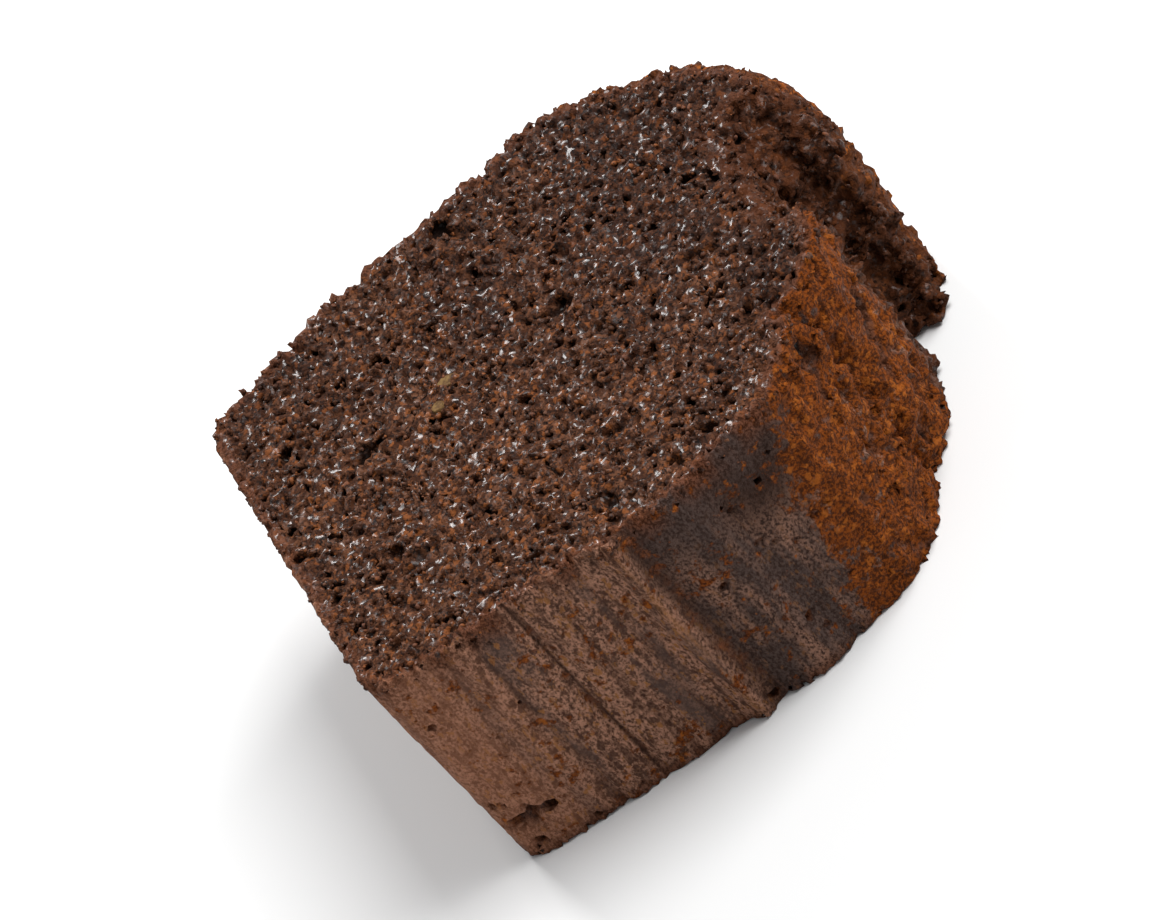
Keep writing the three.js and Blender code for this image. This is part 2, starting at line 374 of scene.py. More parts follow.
def signed_distance(xs, ys, outline):
    """Distance in mm from each grid point to a closed outline, negative inside it."""
    start, end = outline, np.roll(outline, -1, 0)
    edge = end - start
    long = np.maximum((edge ** 2).sum(1), 1e-9)
    dx = xs[:, None, None] - start[:, 0]
    dy = ys[None, :, None] - start[:, 1]
    along = np.clip((dx * edge[:, 0] + dy * edge[:, 1]) / long, 0.0, 1.0)
    gap = (dx - along * edge[:, 0]) ** 2 + (dy - along * edge[:, 1]) ** 2
    astride = (start[:, 1] > ys[:, None]) != (end[:, 1] > ys[:, None])
    slope = edge[:, 0] / np.where(np.abs(edge[:, 1]) < 1e-9, 1e-9, edge[:, 1])
    left = dx < ((ys[:, None] - start[:, 1]) * slope)[None]
    inside = (astride[None] & left).sum(2) % 2 == 1
    return np.where(inside, -1.0, 1.0) * np.sqrt(gap.min(2))


# ---------------------------------------------------------------- the slice's body


def loaf_distance(grid):
    """Distance from the loaf's skin, negative inside, as if the slice had no ends."""
    points, triangles = solid_triangles(CAKE_NODE)
    stations = np.arange(HIDDEN_Z + 0.5, SHOWN_Z, 1.0)
    xs = np.arange(grid[0][0], grid[0][-1] + 0.5, 0.5)
    ys = np.arange(grid[1][0], grid[1][-1] + 0.5, 0.5)
    sections = [signed_distance(xs, ys, outline_at(points, triangles, z)) for z in stations]
    whole = blurred(np.stack(sections, 2), (0.65, 0.65, 0.9))
    return spread(whole, (xs, ys, stations), grid)


def carve_balls(field, grid, centres, radii, rng):
    """Opens a lumpy bubble at each centre: the field there becomes the way out of it."""
    step = grid[0][1] - grid[0][0]
    origin = np.array([axis[0] for axis in grid])
    for centre, radius in zip(centres, radii):
        turn = rng.random() * math.pi
        longer = 1.0 + 0.9 * rng.random()
        flat = 0.7 + 0.3 * rng.random()
        reach = radius * longer + 2 * step
        first = np.maximum(((centre - reach - origin) / step).astype(int), 0)
        last = np.minimum(((centre + reach - origin) / step).astype(int) + 2, field.shape)
        if (last <= first).any():
            continue
        px, py, pz = (grid[k][first[k]:last[k]] - centre[k] for k in range(3))
        px, py, pz = px[:, None, None], py[None, :, None], pz[None, None, :]
        along = (px * math.cos(turn) + py * math.sin(turn)) / longer
        across = (py * math.cos(turn) - px * math.sin(turn)) / flat
        away = np.sqrt(along ** 2 + across ** 2 + (pz / flat) ** 2) - radius
        part = field[first[0]:last[0], first[1]:last[1], first[2]:last[2]]
        np.maximum(part, -away, out=part)


def main_shell(points, faces):
    """Only the largest joined sheet of a mesh, without loose crumbs or shut bubbles."""
    label = np.arange(len(points))
    pairs = np.stack([faces.reshape(-1), np.roll(faces, -1, 1).reshape(-1)], 1)
    while True:
        low = np.minimum(label[pairs[:, 0]], label[pairs[:, 1]])
        new = label.copy()
        np.minimum.at(new, pairs[:, 0], low)
        np.minimum.at(new, pairs[:, 1], low)
        new = new[new]
        new = new[new]
        if (new == label).all():
            break
        label = new
    kept = label == np.bincount(label).argmax()
    number = np.cumsum(kept) - 1
    return points[kept], number[faces[kept[faces[:, 0]]]]


def mesh_object(name, points, faces, material):
    """A shaded mesh object from points in mm."""
    mesh = bpy.data.meshes.new(name)
    mesh.from_pydata((points * MM).tolist(), [], faces.tolist())
    mesh.materials.append(material)
    mesh.shade_smooth()
    mesh.validate()
    piece = bpy.data.objects.new(name, mesh)
    bpy.context.scene.collection.objects.link(piece)
    return piece


def apply_modifiers(piece):
    """Replaces the piece's mesh by what its modifiers make of it."""
    shown = piece.evaluated_get(bpy.context.evaluated_depsgraph_get())
    mesh = bpy.data.meshes.new_from_object(shown)
    piece.modifiers.clear()
    piece.data = mesh


def mesh_points(mesh):
    """The mesh's corners in mm."""
    corners = np.empty(len(mesh.vertices) * 3)
    mesh.vertices.foreach_get("co", corners)
    return corners.reshape(-1, 3) / MM


def paint(mesh, name, values):
    """Stores one number for each corner of a mesh, for its material to read."""
    layer = mesh.attributes.new(name, "FLOAT", "POINT")
    layer.data.foreach_set("value", values.astype(np.float32))


def sample(field, grid, points):
    """The field's value at loose points, between its grid points."""
    where = []
    for axis in range(3):
        step = grid[axis][1] - grid[axis][0]
        place = (points[:, axis] - grid[axis][0]) / step
        where.append(np.clip(place, 0, field.shape[axis] - 1.001))
    low = [w.astype(int) for w in where]
    share = [w - l for w, l in zip(where, low)]
    total = np.zeros(len(points))
    for corner in range(8):
        bit = [(corner >> k) & 1 for k in range(3)]
        weight = np.prod([share[k] if bit[k] else 1 - share[k] for k in range(3)], 0)
        total += weight * field[low[0] + bit[0], low[1] + bit[1], low[2] + bit[2]]
    return total


def torn_zone(x, height, deep):
    """1 in the burst crack, and where the lip broke off at the shown face."""
    left = CRACK_LEFT + LIP_SHIFT * smooth((deep - LIP_START) / LIP_BREAK)
    above = smooth((height - CRACK_FLOOR) / 3)
    return above * smooth((x - left) / 3) * smooth((CRACK_RIGHT - x) / 4)


def crust_relief(grid, rng):
    """How far the baked skin stands out, in mm."""
    x, y, z = grid[0][:, None, None], grid[1][None, :, None], grid[2][None, None, :]
    height, deep = y - BASE_Y, SHOWN_Z - z
    coarse = [np.arange(axis[0], axis[-1] + COARSE_STEP, COARSE_STEP) for axis in grid]
    shape = [len(axis) for axis in coarse]

    def bumps(length, stretch=(1.0, 1.0, 1.0)):
        return spread(grain(shape, COARSE_STEP, length, rng, stretch), coarse, grid)

    broad = bumps(BROAD_BUMPS)
    fine = bumps(FINE_BUMPS)
    drawn = bumps(PAPER_BUMPS, stretch=(1, 1, 5))
    folds = np.abs(bumps(TOP_FOLDS))
    top = smooth((height - TOP_START) / TOP_FADE)
    torn = torn_zone(x, height, deep)
    rim = smooth(1.5 - np.minimum(deep, z - HIDDEN_Z))
    relief = broad * (BROAD_OUT[0] + BROAD_OUT[1] * top + BROAD_OUT[2] * torn)
    relief += fine * (FINE_OUT[0] + FINE_OUT[1] * top + FINE_OUT[2] * rim)
    relief -= TOP_FOLD_DEPTH * top * (1 - torn) * smooth(1 - folds / 0.10)
    relief += drawn * PAPER_OUT * (1 - top)
    wave = FOLD_WAVE * np.sin(z * WAVE_RATE + WAVE_START)
    for side, creases in ((-1, LEFT_CREASES), (1, RIGHT_CREASES)):
        facing = smooth(side * x - WALL_START)
        for level, out, wide in creases:
            relief += facing * out * np.exp(-((height - level - wave) / wide) ** 2)
    relief = relief.astype(np.float32)
    high = grid[1] > BASE_Y + (CRACK_FLOOR - 2)
    step = grid[0][1] - grid[0][0]
    crumb = torn_crumb((len(grid[0]), int(high.sum()), len(grid[2])), step, rng)
    relief[:, high] += torn[:, high] * crumb
    return relief


def torn_crumb(shape, step, rng):
    """Round moist lumps with deep gaps between them, as relief in mm."""
    large = np.abs(grain(shape, step, TORN_LUMPS, rng)) - MEAN_BUMP
    small = np.abs(grain(shape, step, TORN_GRAINS, rng)) - MEAN_BUMP
    gaps = np.maximum(grain(shape, step, TORN_GAPS, rng) - MEAN_BUMP, 0)
    teeth = grain(shape, step, TORN_TEETH, rng)
    relief = TORN_LUMPS_OUT * large + TORN_GRAINS_OUT * small
    return relief - TORN_GAPS_DEPTH * gaps + TORN_TEETH_OUT * teeth


def along_outline(outline, count, rng):
    """Loose places on a closed outline, and the way out of it at each."""
    end = np.roll(outline, -1, 0)
    edge = end - outline
    long = np.hypot(edge[:, 0], edge[:, 1])
    at = rng.choice(len(outline), count, p=long / long.sum())
    place = outline[at] + edge[at] * rng.random((count, 1))
    out = np.stack([edge[at][:, 1], -edge[at][:, 0]], 1) / long[at][:, None]
    area = (outline[:, 0] * end[:, 1] - end[:, 0] * outline[:, 1]).sum()
    return place, out * (1 if area > 0 else -1)


def skin_hollows(crumb, rng):
    """Chips along the cut rims and pits in the baked skin: centres and radii in mm."""
    solid = solid_triangles(CAKE_NODE)
    centres, radii = [], []
    for level, side, scale in ((SHOWN_Z, 1, 1.0), (HIDDEN_Z, -1, 0.55)):
        rim = outline_at(*solid, level - side * 2.0)
        place, out = along_outline(rim, crumb.chips, rng)
        sunk = rng.uniform(-0.1, 0.5, crumb.chips)
        centres.append(np.column_stack([place + 0.25 * out, level - side * sunk]))
        radii.append(mixed_sizes(0.25, 0.75, 3, crumb.chips, rng) * scale)
    count = crumb.pits // PIT_ROWS
    for level in np.linspace(HIDDEN_Z + 2, SHOWN_Z - 2, PIT_ROWS):
        place, out = along_outline(outline_at(*solid, level), count, rng)
        height = place[:, 1] - BASE_Y
        smoothed = (height > 17) & (height < 38)
        kept = rng.random(count) < np.where(smoothed, 0.25, 1.0)
        through = level + rng.uniform(-1.3, 1.3, count)
        centres.append(np.column_stack([place - 0.05 * out, through])[kept])
        radii.append(mixed_sizes(0.2, 0.55, 2.5, count, rng)[kept])
    for x, height, deep, scatter, count, largest in PIT_CLUSTERS:
        middle = (x, BASE_Y + height, SHOWN_Z - deep)
        centres.append(middle + scatter * rng.standard_normal((count, 3)))
        radii.append(mixed_sizes(0.3, largest - 0.3, 1, count, rng))
    return np.concatenate(centres), np.concatenate(radii)


def top_splits(loaf, grid, rng):
    """Splits in the baked top, as rows of small hollows: centres and radii in mm."""
    centres, radii = [], []
    for start, end, half in SPLITS:
        along = np.linspace(0, 1, SPLIT_STEPS)
        x = start[0] + (end[0] - start[0]) * along + 0.5 * np.sin(along * 9 + start[0])
        z = SHOWN_Z - start[1] - (end[1] - start[1]) * along
        inside = loaf[cells(grid[0], x), :, cells(grid[2], z)] < 0
        top = grid[1][inside.shape[1] - 1 - np.argmax(inside[:, ::-1], 1)]
        centres.append(np.column_stack([x, top - 0.4 * rng.random(len(x)), z]))
        wide = half * (0.25 + 0.75 * np.sin(along * math.pi))
        radii.append(wide * rng.uniform(0.7, 1.2, len(x)))
    return np.concatenate(centres), np.concatenate(radii)


def open_crumb(field, grid, loaf, level, side, crumb, rng):
    """Makes one cut face ragged, and opens the small pores behind it."""
    step = grid[0][1] - grid[0][0]
    near = np.abs(grid[2] - level) < OPENED_DEPTH
    deep = side * (level - grid[2][near])[None, None, :]
    shape = (len(grid[0]), len(grid[1]), int(near.sum()))
    small = grain(shape, step, crumb.pore_size / MM, rng)
    large = grain(shape, step, 2.1 * crumb.pore_size / MM, rng, stretch=(0.8, 1.15, 1.0))
    clumps = MEAN_BUMP - np.abs(grain(shape, step, CLUMPS, rng))
    teeth = MEAN_BUMP - np.abs(grain(shape, step, TEETH, rng))
    ragged = CLUMPS_OUT * clumps + TEETH_OUT * teeth
    if side < 0:
        ragged = np.maximum(ragged, 0)  # the slice rests flat on this face
    limit = float(np.quantile(small, 1.0 - crumb.pore_share))
    pores = np.maximum(0.34 * (small - limit), 0.45 * (large - 1.8))
    pores = pores - 0.35 * smooth((deep - 1.3) / 1.8) - 0.25 * smooth(loaf[:, :, near] + 1.3)
    field[:, :, near] = np.maximum(field[:, :, near], np.maximum(-deep, pores) + ragged)


def open_bubbles(field, grid, loaf, level, side, crumb, rng):
    """Opens the larger bubbles that lie in one cut face."""
    count = crumb.bubbles
    centres = np.stack([
        rng.uniform(LOW[0] + 4, HIGH[0] - 4, count),
        rng.uniform(BASE_Y + 2, BASE_Y + 70, count),
        level - side * rng.uniform(-0.3, 1.0, count),
    ], 1)
    radii = mixed_sizes(0.3, 1.0, 3.5, count, rng)
    held = sample(loaf, grid, centres) < -1.6
    carve_balls(field, grid, centres[held], radii[held], rng)


def slice_field(crumb, rng):
    """The slice as a field over a grid: negative in the cake, positive outside it."""
    step = crumb.voxel / MM
    grid = [np.arange(LOW[k] - 1.5, HIGH[k] + 1.5, step) for k in range(3)]
    loaf = loaf_distance(grid)
    field = loaf - crust_relief(grid, rng)
    carve_balls(field, grid, *skin_hollows(crumb, rng), rng)
    carve_balls(field, grid, *top_splits(loaf, grid, rng), rng)
    for level, side in ((SHOWN_Z, 1), (HIDDEN_Z, -1)):
        open_crumb(field, grid, loaf, level, side, crumb, rng)
        open_bubbles(field, grid, loaf, level, side, crumb, rng)
    field[:, :, grid[2] > SHOWN_Z + 0.8] = 1.0
    field[:, :, grid[2] < HIDDEN_Z - 0.8] = 1.0
    return grid, loaf, field


def slice_mesh(crumb, material):
    """The slice as one closed mesh with its zones painted on it."""
    rng = np.random.default_rng(crumb.seed)
    grid, loaf, field = slice_field(crumb, rng)
    step = crumb.voxel / MM
    volume = openvdb.FloatGrid(1.0)
    volume.copyFromArray(np.clip(field, -1.0, 1.0))
    volume.transform = openvdb.createLinearTransform(voxelSize=step)
    points, quads = volume.convertToQuads(isovalue=0.0)
    points, quads = main_shell(points + [axis[0] for axis in grid], quads.astype(int))
    piece = mesh_object("slice", points, quads[:, ::-1], material)
    thin = piece.modifiers.new("Fewer faces", "DECIMATE")
    thin.ratio = min(1.0, crumb.faces / (2.0 * len(quads)))
    apply_modifiers(piece)
    paint_zones(piece.data, grid, loaf)
    return piece


def paint_zones(mesh, grid, loaf):
    """Marks which part of the loaf each corner of the mesh belongs to, and how much painted shade
    it gets in the pores.
    """
    points = mesh_points(mesh)
    x, height, z = points[:, 0], points[:, 1] - BASE_Y, points[:, 2]
    deep = SHOWN_Z - z
    skin = np.maximum(-sample(loaf, grid, points), 0.0)
    torn = torn_zone(x, height, deep)
    right_top = smooth((x + 2) / 8) * smooth((height - 51 + 8 * deep / 33) / 9)
    # a dark patch high on the right side near the shown face, round a cluster of pits
    dark_patch_share = np.exp(-((height - 49) / 5) ** 2 - ((deep - 8) / 5) ** 2) * smooth(x / 20)
    sunk = np.minimum(np.abs(SHOWN_Z - z), np.abs(z - HIDDEN_Z))
    # painted shade in the pores grows with their depth under a cut face; pits deeper than the
    # opened crumb get a small fixed share
    sunk = np.where(sunk < OPENED_DEPTH, sunk, 1.0)  # pits in the skin are only a little darker
    zones = {
        "skin_depth": skin,
        "height": height,
        "torn": torn,
        "shoulder": right_top * (1 - torn),
        "dark_patch": dark_patch_share,
        "rim": smooth(1.2 - np.minimum(deep, (z - HIDDEN_Z) * 2) / 3.6),
        "dome": smooth((height - TOP_START) / TOP_FADE) * smooth((4 - x) / 6),
        "pore_shade": sunk * smooth((skin - 0.6) / 0.8),
    }
    for name, values in zones.items():
        paint(mesh, name, values)


# ---------------------------------------------------------------- crumbs and nut bits


def surface_places(mesh, count, rng, wanted):
    """Loose places on a mesh where wanted(centres, normals) is not 0, and their normals."""
    mesh.calc_loop_triangles()
    total = len(mesh.loop_triangles)
    corners, normals, areas = np.empty(total * 3, int), np.empty(total * 3), np.empty(total)
    mesh.loop_triangles.foreach_get("vertices", corners)
    mesh.loop_triangles.foreach_get("normal", normals)
    mesh.loop_triangles.foreach_get("area", areas)
    normals = normals.reshape(-1, 3)
    trio = mesh_points(mesh)[corners.reshape(-1, 3)]
    odds = areas * wanted(trio.mean(1), normals)
    at = rng.choice(total, count, p=odds / odds.sum())
    share = rng.dirichlet((1, 1, 1), count)
    return (trio[at] * share[:, :, None]).sum(1), normals[at]


def turns(count, rng):
    """Random rotations, one 3 by 3 matrix each."""
    w, x, y, z = rng.standard_normal((4, count))
    long = np.sqrt(w * w + x * x + y * y + z * z)
    w, x, y, z = w / long, x / long, y / long, z / long
    return np.stack([
        1 - 2 * (y * y + z * z), 2 * (x * y - w * z), 2 * (x * z + w * y),
        2 * (x * y + w * z), 1 - 2 * (x * x + z * z), 2 * (y * z - w * x),
        2 * (x * z - w * y), 2 * (y * z + w * x), 1 - 2 * (x * x + y * y),
    ], 1).reshape(-1, 3, 3)


def ball(level):
    """Corners and triangles of a ball with a radius of 1."""
    built = bmesh.new()
    bmesh.ops.create_icosphere(built, subdivisions=level, radius=1.0)
    corners = np.array([v.co[:] for v in built.verts])
    faces = np.array([[v.index for v in f.verts] for f in built.faces])
    built.free()
    return corners, faces


def lumps(places, radii, level, uneven, rng):
    """Many uneven lumps in one mesh: corners, triangles and each corner's lump."""
    corners, faces = ball(level)
    count = len(places)
    sizes = 1 + uneven * rng.uniform(-1, 1, (count, len(corners), 1))
    squash = rng.uniform(0.65, 1.25, (count, 1, 3))
    shaped = np.einsum("nij,nkj->nki", turns(count, rng), corners * sizes * squash)
    points = places[:, None] + shaped * radii[:, None, None]
    number = np.arange(count)
    triangles = faces[None] + (number * len(corners))[:, None, None]
    return points.reshape(-1, 3), triangles.reshape(-1, 3), np.repeat(number, len(corners))


def on_cut_face(centres, normals):
    """How likely a clinging crumb is at places on the shown face."""
    return (normals[:, 2] > 0.1) * (centres[:, 2] > SHOWN_Z - 1.0)


def on_rim(centres, normals):
    """How likely a clinging crumb is at places round the shown face and in the crack."""
    height = centres[:, 1] - BASE_Y
    torn = torn_zone(centres[:, 0], height, SHOWN_Z - centres[:, 2])
    sideways = np.abs(normals[:, 2]) < 0.7
    near_rim = (centres[:, 2] > SHOWN_Z - 1.6) * sideways
    return near_rim + 0.5 * torn + 0.02 * sideways


def clinging_crumbs(crumb, body, material):
    """Crumbs that the knife left on the cut face, its rim and the torn top."""
    rng = np.random.default_rng(crumb.seed + 1)
    count = crumb.crumbs
    on_face = int(count * CRUMBS_ON_FACE)
    top, top_out = surface_places(body.data, on_face, rng, on_cut_face)
    rim, rim_out = surface_places(body.data, count - on_face, rng, on_rim)
    radii = mixed_sizes(0.13, 0.30, 2.2, count, rng)
    lifted = np.concatenate([top_out, rim_out]) * radii[:, None] * 0.2
    places = np.concatenate([top, rim]) + lifted
    places[:, 2] = np.maximum(places[:, 2], HIDDEN_Z + radii)
    points, triangles, owner = lumps(places, radii, 1, 0.28, rng)
    piece = mesh_object("clinging_crumbs", points, triangles, material)
    paint(piece.data, "shade", rng.random(count)[owner])
    paint(piece.data, "browned", (owner >= on_face).astype(float))
    return piece


def nut_bits(crumb, material):
    """Small pale bits of nut, cut flush with the shown face."""
    rng = np.random.default_rng(crumb.seed + 2)
    bits = np.array(NUT_BITS)
    places = np.column_stack([bits[:, 0], BASE_Y + bits[:, 1], SHOWN_Z - 0.55 * bits[:, 2]])
    points, triangles, _ = lumps(places, bits[:, 2], 4, 0.04, rng)
    level = SHOWN_Z + 0.12 + 0.05 * np.sin(points[:, 0] * 3.1) * np.cos(points[:, 1] * 2.7)
    points[:, 2] = np.minimum(points[:, 2], level)
    return mesh_object("nut_bits", points, triangles, material)


# ---------------------------------------------------------------- materials


class Nodes:
    """Adds nodes to one tree, each a little further right, and links them."""

    def __init__(self, tree):
        self.tree = tree
        self.count = 0

    def add(self, kind, values=None, **settings):
        """A node with some settings, and with values or links on its inputs."""
        node = self.tree.nodes.new(kind)
        node.location = (220 * (self.count % 12) - 2800, -260 * (self.count // 12))
        self.count += 1
        for name, value in settings.items():
            setattr(node, name, value)
        for name, value in (values or {}).items():
            self.feed(node.inputs[name], value)
        return node

    def feed(self, socket, value):
        """Links a socket's value in, or sets it."""
        if isinstance(value, bpy.types.NodeSocket):
            self.tree.links.new(value, socket)
        elif isinstance(value, Color):
            socket.default_value = (*value, 1.0)
        else:
            socket.default_value = value

    def place(self):
        """Where on the piece the surface is, in metres."""
        return self.add("ShaderNodeTexCoord").outputs["Object"]

    def across(self, axis):
        """How far along one axis the surface is, in metres."""
        return self.add("ShaderNodeSeparateXYZ", {"Vector": self.place()}).outputs[axis]

    def noise(self, vector, size, detail=3.0, rough=0.6):
        """Soft random patches about as long as size, in metres."""
        return self.add("ShaderNodeTexNoise", {
            "Vector": vector, "Scale": 1.0 / size, "Detail": detail, "Roughness": rough,
        }).outputs["Fac"]

    def ramp(self, value, low, high, out=(0.0, 1.0)):
        """A soft step of a value between low and high."""
        return self.add("ShaderNodeMapRange", {
            "Value": value, "From Min": low, "From Max": high,
            "To Min": out[0], "To Max": out[1],
        }, interpolation_type="SMOOTHSTEP").outputs["Result"]

    def maths(self, operation, *values):
        """A sum, product or other operation on values."""
        node = self.add("ShaderNodeMath", operation=operation)
        for socket, value in zip(node.inputs, values):
            self.feed(socket, value)
        return node.outputs["Value"]

    def times(self, one, other):
        """One value times another."""
        return self.maths("MULTIPLY", one, other)

    def plus(self, one, other):
        """One value plus another."""
        return self.maths("ADD", one, other)

    def blend(self, share, under, over, kind="MIX"):
        """One colour laid over another by a share."""
        node = self.add("ShaderNodeMix", data_type="RGBA", blend_type=kind)
        for name, value in (("Factor", share), ("A", under), ("B", over)):
            self.feed(node.inputs[name], value)
        return node.outputs["Result"]

    def painted(self, name):
        """A number stored on the mesh's corners."""
        return self.add("ShaderNodeAttribute", attribute_name=name).outputs["Fac"]

    def relief(self, shader, height, strength, distance):
        """Small bumps on a shader's surface."""
        bump = self.add("ShaderNodeBump", {
            "Strength": strength, "Distance": distance, "Height": height})
        self.feed(shader.inputs["Normal"], bump.outputs["Normal"])


def new_group(name, inputs, outputs):
    """An empty node group with float sockets, and its ends."""
    tree = bpy.data.node_groups.new(name, "ShaderNodeTree")
    for label, value in inputs.items():
        socket = tree.interface.new_socket(label, in_out="INPUT", socket_type="NodeSocketFloat")
        socket.default_value = value
    for label in outputs:
        tree.interface.new_socket(label, in_out="OUTPUT", socket_type="NodeSocketFloat")
    return tree, tree.nodes.new("NodeGroupInput"), tree.nodes.new("NodeGroupOutput")


def baked_grain():
    """A node group: patches, sparse flecks and a height, all of one size of grain."""
    found = bpy.data.node_groups.get("Baked grain")
    if found:
        return found
    tree, start, end = new_group(
        "Baked grain", {"Size": 0.6 * MM, "Fleck share": 0.2, "Length": 1.0},
        ("Patches", "Flecks", "Height"))
    nodes = Nodes(tree)
    squeeze = nodes.add("ShaderNodeCombineXYZ", {
        "X": 1.0, "Y": 1.0, "Z": nodes.maths("DIVIDE", 1.0, start.outputs["Length"])})
    where = nodes.add("ShaderNodeVectorMath", {0: nodes.place(), 1: squeeze.outputs["Vector"]},
                      operation="MULTIPLY").outputs["Vector"]
    rate = nodes.maths("DIVIDE", 1.0, start.outputs["Size"])
    patches = nodes.add("ShaderNodeTexNoise", {
        "Vector": where, "Scale": rate, "Detail": 4.0, "Roughness": 0.65}).outputs["Fac"]
    jitter = nodes.add("ShaderNodeTexNoise", {
        "Vector": where, "Scale": nodes.times(rate, 1.6), "Detail": 2.0})
    shift = nodes.add("ShaderNodeVectorMath", {
        0: jitter.outputs["Color"],
        "Scale": nodes.times(start.outputs["Size"], 1.5)}, operation="SCALE")
    moved = nodes.add("ShaderNodeVectorMath", {0: where, 1: shift.outputs["Vector"]},
                      operation="ADD").outputs["Vector"]
    grains = nodes.add("ShaderNodeTexVoronoi", {
        "Vector": moved, "Scale": rate, "Randomness": 1.0}, feature="F1")
    picked = nodes.add("ShaderNodeSeparateColor", {"Color": grains.outputs["Color"]}).outputs["Red"]
    chosen = nodes.maths("LESS_THAN", picked, start.outputs["Fleck share"])
    near = nodes.plus(grains.outputs["Distance"], nodes.times(patches, 0.5))
    near = nodes.ramp(near, 0.80, 0.52)
    nodes.feed(end.inputs["Patches"], patches)
    nodes.feed(end.inputs["Flecks"], nodes.times(chosen, near))
    nodes.feed(end.inputs["Height"], nodes.maths("SUBTRACT", patches, grains.outputs["Distance"]))
    return tree


def grained(nodes, size, share, length=1.0):
    """The grain group in a material; its grains are length times longer along Z."""
    group = nodes.add("ShaderNodeGroup", node_tree=baked_grain())
    group.inputs["Size"].default_value = size
    group.inputs["Fleck share"].default_value = share
    group.inputs["Length"].default_value = length
    return group.outputs


def new_material(name):
    """A material, its nodes and its shader."""
    material = bpy.data.materials.new(name)
    material.use_nodes = True
    tree = material.node_tree
    return material, Nodes(tree), tree.nodes["Principled BSDF"]


def crumb_colours(nodes, crumb, coarse, fine):
    """Moist crumb: brown, with paler and redder grains, and darker crumb with painted shade between
    them.
    """
    pale = nodes.ramp(coarse["Patches"], 0.46, 0.60)
    colour = nodes.blend(pale, crumb.colour, crumb.light_colour)
    # darker crumb with painted shade where the fine grain sinks
    colour = nodes.blend(nodes.ramp(fine["Patches"], 0.52, 0.38), colour, crumb.dark_crumb_and_shade)
    flecks = nodes.times(coarse["Flecks"], 0.8)
    colour = nodes.blend(flecks, colour, crumb.fleck_colour)
    # the crumb is made darker in broad patches, more towards the dome and towards the left
    upwards = nodes.ramp(nodes.painted("height"), 20.0, 75.0, out=(-0.08, 0.22))
    leftwards = nodes.ramp(nodes.across("X"), 0.02, -0.03, out=(-0.05, 0.14))
    darkening = nodes.plus(nodes.noise(nodes.place(), 11 * MM, detail=2.0), upwards)
    darkening = nodes.plus(darkening, leftwards)
    return nodes.blend(nodes.ramp(darkening, 0.42, 0.75), colour, crumb.shade_colour, kind="MULTIPLY")


def line_at(nodes, level, reach, strength):
    """A soft line round one height of the wall."""
    away = nodes.maths("ABSOLUTE", nodes.maths("SUBTRACT", nodes.painted("height"), level))
    return nodes.times(nodes.ramp(away, reach, 0.0), strength)


def low_wall(nodes, crust, fine, streaks, smudges, level, specks):
    """The side below its step: pale grains, streaks and specks, and rust near the base."""
    dark = grained(nodes, 0.95 * MM, 0.42, length=1.6)["Flecks"]
    colour = nodes.blend(nodes.ramp(fine, 0.34, 0.62), crust.low_shade, crust.wall_colour)
    streaked = nodes.ramp(streaks, 0.52, 0.36, out=(0.0, 0.75))
    colour = nodes.blend(streaked, colour, crust.low_shade)
    colour = nodes.blend(nodes.times(dark, 0.85), colour, crust.low_shade)
    greyed = nodes.ramp(level, 6.0, 16.0, out=(0.15, 0.75))
    greyed = nodes.times(nodes.ramp(smudges, 0.46, 0.60), greyed)
    colour = nodes.blend(greyed, colour, crust.grey_colour)
    colour = nodes.blend(specks, colour, crust.speck_colour)
    rusty = nodes.times(nodes.ramp(level, 16.0, 2.0), 0.4)
    return nodes.blend(rusty, colour, crust.rust_colour)


def high_wall(nodes, crust, fine, smudges, specks):
    """The side above its step: dark and smooth, and paler further back."""
    grey = nodes.ramp(fine, 0.38, 0.62)
    colour = nodes.blend(grey, crust.dark_wall_colour, crust.grey_colour)
    deep = nodes.ramp(nodes.across("Z"), (SHOWN_Z - 3) * MM, (SHOWN_Z - 17) * MM)
    paler_back = nodes.times(nodes.ramp(smudges, 0.40, 0.56), deep)
    paler_back = nodes.times(paler_back, nodes.ramp(fine, 0.36, 0.60, out=(0.0, 0.65)))
    colour = nodes.blend(paler_back, colour, crust.wall_colour)
    browner = nodes.times(specks, nodes.times(deep, 0.35))
    return nodes.blend(browner, colour, crust.speck_colour)


def wall_marks(nodes, crust, colour, fine, streaks, smudges):
    """Painted shade along the folds and in the groove above the step, a painted highlight along the
    step's edge, a dark patch by the pits high on the right, and the crumbly rims.
    """
    # painted shade in the creases and in the groove above the step
    for line in CREASE_SHADE_LINES:
        colour = nodes.blend(line_at(nodes, *line), colour, crust.torn_shade)
    # painted highlight along the step's raised edge
    edge = nodes.times(line_at(nodes, *STEP_HIGHLIGHT), nodes.ramp(streaks, 0.42, 0.56))
    colour = nodes.blend(edge, colour, crust.speck_colour)
    # the dark patch high on the right side, broken up by smudges
    dark_patch = nodes.times(nodes.painted("dark_patch"), nodes.ramp(smudges, 0.34, 0.50))
    colour = nodes.blend(nodes.times(dark_patch, 0.85), colour, crust.torn_shade)
    crumbly = nodes.times(nodes.painted("rim"), nodes.ramp(smudges, 0.36, 0.56))
    browned = nodes.blend(nodes.ramp(fine, 0.58, 0.42), crust.rind_colour, crust.top_shade)
    return nodes.blend(nodes.times(crumbly, 0.9), colour, browned)


